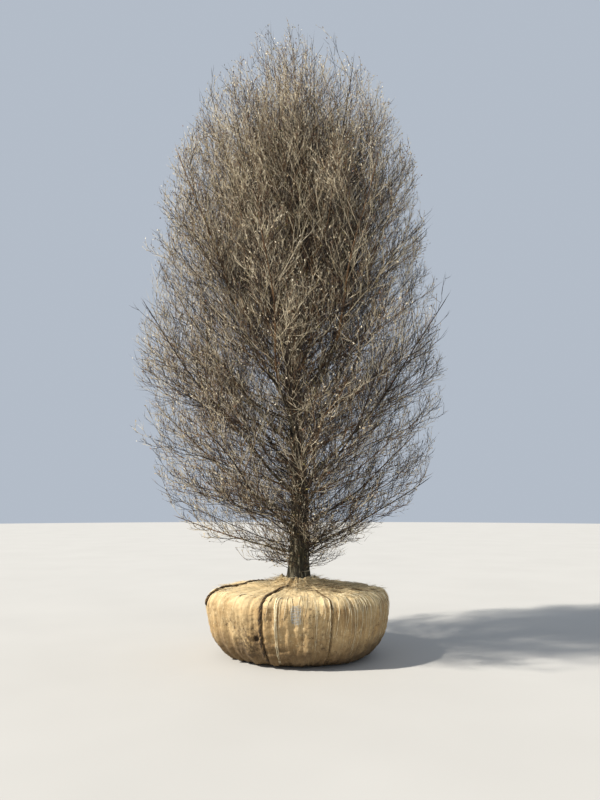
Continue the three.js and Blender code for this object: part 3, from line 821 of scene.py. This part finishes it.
def add_boughs(bark):
    """The boughs, with swollen roots and a slightly uneven surface."""
    end = BOUGH_SHARE + BOUGHS.overlap
    share = np.linspace(0, end, BOUGHS.steps + 1)
    points = np.stack([stretch_of_limb(i, 0, end, BOUGHS.steps) for i in range(LIMBS.count)])
    radii = np.stack([limb_radius(i, share) for i in range(LIMBS.count)])
    past_root = np.maximum(np.linalg.norm(points - points[:, :1], axis=-1) - BOUGHS.swollen, 0)
    radii = radii * (1 + BOUGHS.swelling * np.exp(-past_root / BOUGHS.swell_length))
    radii = radii * (1 + BOUGHS.uneven * noise(points, BOUGHS.cell, BOUGHS.seed))
    vertices, triangles, _ = tubes(points, radii, BOUGHS.sides)
    piece = object_of("bough_bark", vertices, triangles, [bark])
    settle(piece, "bark", *[numbered("bough", number) for number in range(LIMBS.count)])


def closed_grid(points, bottom, top):
    """A grid of points round a body as a mesh: it closes on itself, and with a point at both ends."""
    rows, columns, _ = points.shape
    corner = np.arange(rows * columns).reshape(rows, columns)
    following = np.roll(corner, -1, axis=1)
    a, b, c, d = corner[:-1], following[:-1], following[1:], corner[1:]
    first, last = np.full(columns, rows * columns), np.full(columns, rows * columns + 1)
    faces = ((a, b, c), (a, c, d), (first, following[0], corner[0]), (last, corner[-1], following[-1]))
    triangles = np.concatenate([np.stack(corners, -1).reshape(-1, 3) for corners in faces])
    return np.concatenate((points.reshape(-1, 3), [bottom, top])), triangles


# The trunk's mesh, how its flutes wind and deepen, and the stretch, cells and seeds of its bark's relief.
TRUNK_MESH = Values(
    rows=260, columns=84, crowding=1.4, winding=(0.25, 1.3), upper_flutes=0.7, broad_flutes=(0.6, 0.8),
    relief=0.005, full_radius=0.05, around=0.11, up=0.22, ridges=(0.016, 21), bumps=(0.04, 22),
)


def add_trunk(bark):
    """The trunk with its flutes, its root flare and the relief of its bark."""
    made = TRUNK_MESH
    height = lerp(TRUNK.bottom, TRUNK.top, np.linspace(0, 1, made.rows) ** made.crowding)[:, None]
    angle = around(made.columns)[None]
    flare = np.exp(-(height - TRUNK.bottom) / TRUNK.flare_height)
    wound = angle + made.winding[0] * np.sin(height * made.winding[1])
    broad_depth, broad_turn = made.broad_flutes
    flutes = np.cos(TRUNK.flutes * wound) + broad_depth * np.cos(2 * wound + broad_turn)
    radius = trunk_radius(height) * (1 + TRUNK.flute_depth * (made.upper_flutes + flare) * flutes)
    out = outward(angle)
    sample = out * made.around + UP * (height * made.up)[..., None]
    ridges = 1 - np.abs(noise(sample, *made.ridges)) * 2
    relief = made.relief * ridges + made.relief * noise(sample, *made.bumps)
    radius = radius + relief * np.minimum(1, trunk_radius(height) / made.full_radius)
    middle = trunk_middle(height[:, 0])
    mesh = closed_grid(middle[:, None] + out * radius[..., None], middle[0], middle[-1])
    settle(object_of("trunk_bark_painted_shade", *mesh, [bark]), "bark", "trunk")


# The ball's outline as the solids have it, as radius and height, then the cloth gathered at the trunk.
BALL = Values(
    underside=((0.3, 0), (0.6, 0)),
    side=((0.64, 0), (0.84, 0.04), (0.942, 0.25), (0.96, 0.49)),
    shoulder=((0.96, 0.49), (0.972, 0.6), (0.93, 0.652), (0.85, 0.672)),
    top=((0.85, 0.672), (0.37, 0.7045)),
    gather=((0.37, 0.7045), (0.26, 0.712), (0.215, 0.735), (0.17, 0.788)),
    lining=((0.162, 0.786), (0.14, 0.74)),
    steps=(58, 24, 34, 20),
    lobes=((2, 0.012, 0.6), (3, 0.01, 2.2), (7, 0.005, 1.1)),
    columns=560,
    cloth_radius=0.95,
)
# The lashings down the side: their direction in degrees and their radius.
UPRIGHT_ROPES = {
    "lashing_rope_front": (247.5, 0.016),
    "lashing_rope_back": (67, 0.014),
    "lashing_cord_front_right": (290, 0.0075),
}
UPRIGHT = Values(bottom=0.1, below_mouth=0.07, steps=260, sway=0.005, waves=7)
LEVEL_ROPE = Values(
    degrees=(112, 197), rim=0.93, ends=(0.02, 0.98), steps=120, radius=0.014, bow=0.06, tuck=0.502,
    tuck_steps=30,
)
# Marks on the cloth, by the angle round the ball and the run up from its foot.
STAIN = Values(degrees=239, run=0.37)
TEAR = Values(degrees=243.2, run=0.42, width=0.026, depth=0.03, edge=1.6)
# Where the cloth lies in level wrinkles, beside the near rope.
WRINKLES = Values(degrees=257, half_angle=0.16, edge=1.5, more=1.3, across=7, up=30)
# How deep each kind of relief in the cloth is; the dent and the ridge beside a rope go by its radius.
DEPTH = Values(
    lump=0.012, small_lump=0.009, top_pleat=0.01, side_pleat=0.02, gather_pleat=0.012, crease=0.006,
    wrinkle=0.008, crumple=0.006, dent=0.9, ridge=0.45, frill=0.012,
)
# The width and length of the folds, or the size of the cells, and their seeds.
FOLDS = Values(pleats=(0.09, 0.55, 33), tucks=(0.055, 0.5, 34), creases=(0.034, 0.3, 35))
GRAIN = Values(
    lumps=(0.34, 31), small_lumps=(0.13, 32), wrinkles=(1, 36), patches=(0.25, 37), crumple=(0.028, 38),
    fine_crumple=(0.012, 39), frill=(0.16, 41),
)


def travelled(points):
    """How far along a row of points each of them lies."""
    return np.concatenate(([0], np.cumsum(np.linalg.norm(np.diff(points, axis=0), axis=-1))))


def bezier(corners, steps):
    """Points of a curve with two or four corners, without its last one."""
    points = np.array(corners, float)[:, None]
    t = np.linspace(0, 1, steps, endpoint=False)[:, None]
    if len(points) == 2:
        return lerp(points[0], points[1], t)
    a, b, c, d = points
    return a * (1 - t) ** 3 + 3 * b * t * (1 - t) ** 2 + 3 * c * t * t * (1 - t) + d * t**3


CURVES = [bezier(*curve) for curve in zip((BALL.side, BALL.shoulder, BALL.top, BALL.gather), BALL.steps)]
PROFILE = np.concatenate((BALL.underside, *CURVES, BALL.gather[-1:], BALL.lining))
PROFILE_WAY = unit(np.gradient(PROFILE, axis=0))
PROFILE_OUT = np.stack((PROFILE_WAY[:, 1], -PROFILE_WAY[:, 0]), axis=-1)
PROFILE_OUT[-len(BALL.lining) :] = (1, 0)
# How far along the cloth each row lies, from the ball's foot.
RUN = travelled(PROFILE)
RUN = RUN - RUN[len(BALL.underside)]
RIM_RUN = RUN[len(BALL.underside) + sum(BALL.steps[:2])]
MOUTH_RUN = RUN[-1 - len(BALL.lining)]


def run_at(height):
    """How far along the side the cloth reaches a height."""
    side = RUN <= RIM_RUN
    return np.interp(height, PROFILE[side, 1], RUN[side])


def lobe(angle):
    return 1 + sum(depth * np.cos(count * angle + phase) for count, depth, phase in BALL.lobes)


def off_angle(angle, degrees):
    """How far angles lie from a direction, either way round."""
    return np.abs((angle - math.radians(degrees) + math.pi) % FULL_TURN - math.pi)


def cloth_relief(angle, radius, height, run):
    """How far the cloth stands off the ball's outline: lumps, pleats, creases, wrinkles and rope dents."""
    ring = outward(angle)

    def folds(width, length, seed):
        return noise(ring / width + UP * (run / length)[..., None], 1, seed)

    side = smooth((RIM_RUN + 0.03 - run) / 0.16)
    gathered = smooth((0.5 - radius) / 0.3)
    place = ring * radius[..., None] + UP * height[..., None]
    lumps = DEPTH.lump * noise(place, *GRAIN.lumps) + DEPTH.small_lump * noise(place, *GRAIN.small_lumps)
    pleats = folds(*FOLDS.pleats) * 0.7 + (0.5 - np.abs(folds(*FOLDS.tucks))) * 1.2
    creases = np.abs(folds(*FOLDS.creases)) * 2 - 0.7
    level = np.stack((angle * WRINKLES.across, run * WRINKLES.up, 0 * angle), axis=-1)
    wrinkles = noise(level, *GRAIN.wrinkles)
    beside = smooth(WRINKLES.edge - off_angle(angle, WRINKLES.degrees) / WRINKLES.half_angle)
    wrinkled = smooth(noise(place, *GRAIN.patches) * 1.5) + WRINKLES.more * beside
    crumple = noise(place, *GRAIN.crumple) * 0.7 + noise(place, *GRAIN.fine_crumple) * 0.3
    depth = lerp(DEPTH.top_pleat, DEPTH.side_pleat, side) + DEPTH.gather_pleat * gathered
    relief = lumps * (1 - 0.6 * gathered) + depth * pleats + DEPTH.crease * creases * (1 + gathered)
    relief = relief + DEPTH.wrinkle * wrinkles * wrinkled * side + DEPTH.crumple * crumple
    for degrees, width in UPRIGHT_ROPES.values():
        off = off_angle(angle, degrees) * radius / width
        relief = relief - DEPTH.dent * width * np.exp(-((off / 1.7) ** 2))
        relief = relief + DEPTH.ridge * width * np.exp(-(((off - 3.4) / 1.6) ** 2))
    tear = np.hypot(off_angle(angle, TEAR.degrees) * radius, run - TEAR.run)
    relief = relief - TEAR.depth * smooth(TEAR.edge - tear / TEAR.width)
    return relief * smooth(run / 0.1)


def on_cloth(angle, run, lift=0):
    """Points on the cloth, at an angle round the ball and a run up from its foot."""
    radius, height = (np.interp(run, RUN, PROFILE[:, axis]) for axis in (0, 1))
    out, up = (np.interp(run, RUN, PROFILE_OUT[:, axis]) for axis in (0, 1))
    angle, radius, height, run = np.broadcast_arrays(angle, radius, height, run)
    grown = cloth_relief(angle, radius, height, run) + lift
    points = outward(angle) * (radius * lobe(angle) + out * grown)[..., None]
    points[..., 2] = np.maximum(height + up * grown, 0)
    return points


def lay_sheet(piece, triangles, columns):
    """Gives a grid of cloth its own coordinates in metres, so that its yarns run along it."""
    on_grid = triangles < len(RUN) * columns
    share = np.where(on_grid, triangles % columns, 0) / columns
    share = np.where(share < share.max(-1, keepdims=True) - 0.5, share + 1, share)
    along = RUN[np.where(on_grid, triangles // columns, 0)]
    sheet = np.stack((share * FULL_TURN * BALL.cloth_radius, along), axis=-1)
    piece.data.uv_layers.new(name="cloth").data.foreach_set("uv", sheet.astype(np.float32).ravel())


def add_burlap():
    """One cloth round the ball, pleated down its side and gathered up at the trunk."""
    angle = around(BALL.columns)[None]
    points = on_cloth(angle, RUN[:, None])
    ruffle = smooth((RUN - MOUTH_RUN + 0.05) / 0.05)[:, None]
    points[..., 2] += ruffle * DEPTH.frill * noise(outward(angle), *GRAIN.frill)
    points[: len(BALL.underside), :, 2] = 0
    vertices, triangles = closed_grid(points, 0 * UP, UP * PROFILE[-1][1])
    piece = object_of("burlap_wrap", vertices, triangles, [burlap_look()])
    lay_sheet(piece, triangles, BALL.columns)
    settle(piece, "burlap", "root_ball", "burlap_collar")


# The strands of the lashings, how far they sink in, and how their ends are tucked in.
ROPE = Values(
    strands=3, sides=7, pitch=0.12, row_length=0.007, fullness=1.12, softening=6, uneven=0.16, cell=0.03,
    seed=43, sink=0.2, tuck=2.6, tuck_share=0.05,
)


def evenly(points, row_length):
    """A line of points resampled at even distances."""
    along = travelled(points)
    places = np.linspace(0, along[-1], max(2, int(along[-1] / row_length)))
    return np.stack([np.interp(places, along, points[:, axis]) for axis in range(3)], axis=-1), places


def softened(points, times):
    """A line of points with its small kinks evened out."""
    for _ in range(times):
        points[1:-1] = (points[:-2] + 2 * points[1:-1] + points[2:]) / 4
    return points


def twisted(line, radius):
    """Strands wound round a line, as arrays."""
    points, places = evenly(line, ROPE.row_length)
    points = softened(points, ROPE.softening)
    direction = unit(np.gradient(points, axis=0))
    side = square_to(direction[0])
    sides = []
    for way in direction:
        side = unit(side - way * (side @ way))
        sides.append(side)
    sides = np.array(sides)
    front = np.cross(direction, sides)
    strand_radius = radius / (1 + 1 / math.sin(math.pi / ROPE.strands)) * ROPE.fullness
    winding = radius - strand_radius
    turn = (places / ROPE.pitch * FULL_TURN + around(ROPE.strands)[:, None])[..., None]
    lines = points + winding * (sides * np.cos(turn) + front * np.sin(turn))
    radii = strand_radius * (1 + ROPE.uneven * noise(lines, ROPE.cell, ROPE.seed))
    vertices, triangles, per_strand = tubes(lines, radii, ROPE.sides)
    return vertices, triangles, np.repeat(np.arange(ROPE.strands), per_strand)


def lift_of_rope(radius, count):
    """How far a rope's middle stands off the cloth along its length: its ends are tucked under."""
    share = np.linspace(0, 1, count)
    free = smooth(np.minimum(share, 1 - share) / ROPE.tuck_share)
    return radius * (1 - ROPE.sink - ROPE.tuck * (1 - free))


def upright_line(degrees, radius):
    run = np.linspace(UPRIGHT.bottom, MOUTH_RUN - UPRIGHT.below_mouth, UPRIGHT.steps)
    angle = math.radians(degrees) + UPRIGHT.sway * np.sin(run * UPRIGHT.waves + degrees)
    return on_cloth(angle, run, lift_of_rope(radius, len(run)))


def level_line():
    """Across the left of the top, over the rim at both ends and down the side."""
    rope = LEVEL_ROPE
    ends = outward(np.radians(rope.degrees)) * rope.rim
    share = np.linspace(*rope.ends, rope.steps)
    chord = lerp(ends[0], ends[1], share[:, None])
    angle = np.arctan2(chord[:, 1], chord[:, 0])
    away = np.hypot(chord[:, 0], chord[:, 1]) - rope.bow * np.sin(math.pi * share)
    top_rows = (RUN > RIM_RUN - 0.12) & (RUN < MOUTH_RUN)
    across = PROFILE[top_rows, 0]
    order = np.argsort(across)
    run = np.interp(away / lobe(angle), across[order], RUN[top_rows][order])
    tuck_run, tucked = run_at(rope.tuck), np.ones(rope.tuck_steps)
    down = np.linspace(tuck_run, run[0], rope.tuck_steps, endpoint=False)
    up = np.linspace(run[-1], tuck_run, rope.tuck_steps + 1)[1:]
    run = np.concatenate((down, run, up))
    angle = np.concatenate((tucked * angle[0], angle, tucked * angle[-1])) % FULL_TURN
    return on_cloth(angle, run, lift_of_rope(rope.radius, len(run)))


def add_ropes():
    dark = plain_look("rope_dark", ROPE_SKIN, ("2b2015", "4c3b27", "7d6542"))
    worn = plain_look("rope_worn", ROPE_SKIN, ("4a3a26", "7a6341", "a88d60"))
    lines = {name: (upright_line(*rope), rope[1]) for name, rope in UPRIGHT_ROPES.items()}
    lines["lashing_rope_left"] = (level_line(), LEVEL_ROPE.radius)
    for name, line in lines.items():
        *strands, tones = twisted(*line)
        looks = [worn] * ROPE.strands if "cord" in name else [dark, dark, worn]
        piece = object_of(name.replace("lashing", "twisted"), *strands, looks, tones)
        settle(piece, "rope", name)


def fibres(lines, radius, tip=0.3, sides=3):
    """Thin fibres along rows of points, as arrays."""
    share = np.linspace(1, tip, lines.shape[1])
    vertices, triangles, _ = tubes(lines, np.broadcast_to(radius, len(lines))[:, None] * share, sides)
    vertices[:, 2] = np.maximum(vertices[:, 2], 0)
    return vertices, triangles


# Loose yarns down the side: near ones at the right, others all round, and a bundle beside the near rope.
THREADS = Values(
    near=44, degrees=(266, 346), around=60, steps=16, seed=500, start=(-0.06, 0.14), drop=(0.16, 0.62),
    far_drop=0.7, lowest=0.06, slant=0.05, near_slant=0.03, sway=0.003, waves=(6, 14), slack=(0.003, 0.013),
    bundle=6, bundle_degrees=257, bundle_width=0.6, bundle_start=0.02, bundle_end=0.12,
    radius=(0.002, 0.0048),
)


def thread_lines():
    """Loose yarns that hang over the rim and down the side, most of them at the right of the near side."""
    number = np.arange(THREADS.near + THREADS.around)
    seed = number + THREADS.seed
    near = number < THREADS.near
    degrees = np.where(near, lerp(*THREADS.degrees, chance(seed, 1)), 360 * chance(seed, 2))
    start = RIM_RUN + lerp(*THREADS.start, chance(seed, 3))
    end = start - lerp(*THREADS.drop, chance(seed, 4)) * np.where(near, 1, THREADS.far_drop)
    bundled = number < THREADS.bundle
    degrees = np.where(bundled, THREADS.bundle_degrees + spread(seed, 9, THREADS.bundle_width), degrees)
    start = np.where(bundled, RIM_RUN + THREADS.bundle_start, start)
    end = np.where(bundled, THREADS.bundle_end, end)
    slant = np.where(bundled, 0, spread(seed, 5, THREADS.slant) - THREADS.near_slant * near)
    share = np.linspace(0, 1, THREADS.steps)[None]
    run = lerp(start[:, None], np.maximum(end, THREADS.lowest)[:, None], share)
    waves = lerp(*THREADS.waves, chance(seed, 6)[:, None])
    sway = THREADS.sway * np.sin(share * waves + seed[:, None])
    angle = np.radians(degrees)[:, None] + slant[:, None] * share + sway
    slack = lerp(*THREADS.slack, chance(seed, 7)[:, None] * np.sin(math.pi * share) ** 2)
    return on_cloth(angle % FULL_TURN, run, slack), lerp(*THREADS.radius, chance(seed, 8))


# How loose fibres stray; those that rise steeply droop.
STRAY = Values(
    turn=1.6, lengths=(0.4, 1.6), bow=0.35, droop=0.45, steep=0.3, lift=0.001, sink=0.012, steps=5,
    radius=(0.0012, 0.003),
)


def sheaf(count, seed, first_run, last_run, first_angle, last_angle, length, rise):
    """Loose fibres that lie on the cloth where they start and stray off it."""
    number = np.arange(count) + seed
    run = lerp(first_run, last_run, chance(number, 1))
    angle = np.radians(lerp(first_angle, last_angle, chance(number, 2)))
    root = on_cloth(angle % FULL_TURN, run, STRAY.lift)
    heading = angle + spread(number, 3, STRAY.turn)
    up = lerp(0.0, rise, chance(number, 4) ** 2)
    way = unit(outward(heading) + UP * up[:, None])
    side = np.cross(way, UP)
    reach = (length * lerp(*STRAY.lengths, chance(number, 5)))[:, None, None]
    t = np.linspace(0, 1, STRAY.steps)[None, :, None]
    bow = spread(number, 6, STRAY.bow)[:, None, None]
    droop = -STRAY.droop * chance(number, 7)[:, None, None] * t**2 * (up > STRAY.steep)[:, None, None]
    lines = root[:, None] + reach * (way[:, None] * t + side[:, None] * bow * t**2 + UP * droop)
    x, y, z = np.moveaxis(lines, -1, 0)
    floor = on_cloth(np.arctan2(y, x) % FULL_TURN, run[:, None])[..., 2] - STRAY.sink
    on_top = run[:, None] > RIM_RUN - 0.02
    lines[..., 2] = np.where(on_top, np.maximum(z, floor), z)
    return lines, lerp(*STRAY.radius, chance(number, 8))


# The scrap of netting: where it is, its strings both ways, and how wavy and uneven they are.
NET = Values(
    degrees=268.8, half_width=0.05, heights=(0.45, 0.615), steps=16, uprights=7, levels=12, radius=0.0011,
    lift=0.003, upright_wave=0.0022, level_wave=0.002, uneven=0.003, uneven_foot=0.03, widths=(0.8, 1.1),
)


def net_lines():
    """A scrap of pale netting that clings to the cloth just below the rim."""
    bottom, top = run_at(NET.heights)
    half = NET.half_width / BALL.side[-1][0]
    middle = math.radians(NET.degrees)
    t = np.linspace(0, 1, NET.steps)
    lines = []
    for number in range(NET.uprights):
        angle = middle + lerp(-half, half, (number + 0.5) / NET.uprights)
        angle = angle + NET.upright_wave * np.sin(t * 9 + number * 2) + spread(number, 61, NET.uneven)
        lines.append(on_cloth(angle, lerp(bottom + spread(number, 62, NET.uneven_foot), top, t), NET.lift))
    for number in range(NET.levels):
        run = lerp(bottom, top, (number + 0.5) / NET.levels) + NET.level_wave * np.sin(t * 8 + number * 3)
        width = lerp(*NET.widths, chance(number, 63))
        lines.append(on_cloth(middle + lerp(-half, half, t) * width, run, NET.lift))
    return np.stack(lines), NET.radius


# The loose fibres: their colours, then their sheaves. Each sheaf has a count, a seed, the runs and the
# degrees that it grows between, the length of its fibres and how steeply they rise.
ROUND = (0, 360)
FIBRES = {
    "loose_yarns": (
        ("dccba2", "f6ebcd"),
        (150, 900, MOUTH_RUN - 0.03, MOUTH_RUN, *ROUND, 0.05, 1.6),
        (90, 1400, RIM_RUN - 0.05, RIM_RUN + 0.06, 300, 372, 0.07, 0.5),
        (110, 1800, RIM_RUN - 0.08, RIM_RUN + 0.1, *ROUND, 0.05, 0.35),
    ),
    "straw": (
        ("cdb485", "f4e6c2"),
        (900, 2300, MOUTH_RUN - 0.3, MOUTH_RUN - 0.01, *ROUND, 0.11, 0.5),
        (520, 3100, RIM_RUN, MOUTH_RUN - 0.1, *ROUND, 0.1, 0.15),
    ),
    # Dark fibres on the top and round the trunk: partly dark straw, partly painted shadow streaks of straw
    # and twigs.
    "dark_straw_and_painted_shadow": (
        ("57452d", "8a714b"),
        (230, 4300, MOUTH_RUN - 0.3, MOUTH_RUN - 0.02, *ROUND, 0.12, 0.4),
        (150, 5100, RIM_RUN - 0.02, MOUTH_RUN - 0.1, *ROUND, 0.12, 0.12),
        (170, 5900, RIM_RUN, MOUTH_RUN - 0.1, 280, 350, 0.12, 0.2),
    ),
}


def add_fibres():
    """Loose yarns, frayed edges, straw at the foot of the trunk, dark fibres that are partly straw and partly
    painted shadow, and a scrap of netting.
    """
    for name, (tones, *sheaves) in FIBRES.items():
        lines = [sheaf(*values) for values in sheaves]
        if name == "loose_yarns":
            lines.append(thread_lines())
        parts = [fibres(*made) for made in lines]
        settle(object_of(name, *join(parts), [plain_look(name, YARN_SKIN, tones)]), "burlap")
    net = plain_look("netting", NET_SKIN, ("9fb0bd", "ccd8de"))
    settle(object_of("netting", *fibres(*net_lines(), tip=1), [net]), "burlap")


FLOOR = Values(radius=60, sides=180, tones=("b5b3af", "b9b7b3"))
SKY = Values(tint=(0.78, 0.87, 1.0, 1), strength=0.58)
SUN = Values(tint=(1.0, 0.95, 0.86), energy=6.2, width=2.5, turn=(49, 0, -70))


def stand(name, data, turn, place=(0, 0, 0)):
    """Puts a lamp or the camera into the scene, turned by degrees."""
    made = bpy.data.objects.new(name, data)
    made.location = place
    made.rotation_euler = [math.radians(degrees) for degrees in turn]
    bpy.context.scene.collection.objects.link(made)
    return made


def add_stage():
    """A plain pale floor under soft studio light, and the camera."""
    scene = bpy.context.scene
    look = Look("floor", 0.85)
    dark, light = FLOOR.tones
    look.finish(look.ramp(look.noise(0.6, 2), (0.3, dark), (0.7, light)))
    rim = outward(around(FLOOR.sides)) * FLOOR.radius
    corner = np.arange(FLOOR.sides)
    wedges = np.stack((corner, np.roll(corner, -1), np.full(FLOOR.sides, FLOOR.sides)), axis=-1)
    object_of("floor", np.concatenate((rim, [0 * UP])), wedges, [look.material])
    scene.world = bpy.data.worlds.new("studio")
    scene.world.use_nodes = True
    background = scene.world.node_tree.nodes["Background"]
    background.inputs["Color"].default_value = SKY.tint
    background.inputs["Strength"].default_value = SKY.strength
    sun = bpy.data.lights.new("key", "SUN")
    sun.energy, sun.angle, sun.color = SUN.energy, math.radians(SUN.width), SUN.tint
    stand("key", sun, SUN.turn)
    camera = bpy.data.cameras.new("camera")
    camera.lens, camera.shift_x = CAMERA.lens, CAMERA.shift
    scene.camera = stand("camera", camera, (90 + CAMERA.pitch, 0, 0), CAMERA.place)
    scene.view_settings.view_transform = "Standard"


add_crown()
add_boughs(bark_look("bough_bark", "231e17", "463d30", "6f6553", "a59b86"))
# The trunk's bark takes darker tones than the boughs': painted shade of the crown on the trunk.
add_trunk(bark_look("trunk_bark_painted_shade", "14120d", "29251a", "4c4635", "9a927c"))
add_burlap()
add_ropes()
add_fibres()
add_stage()
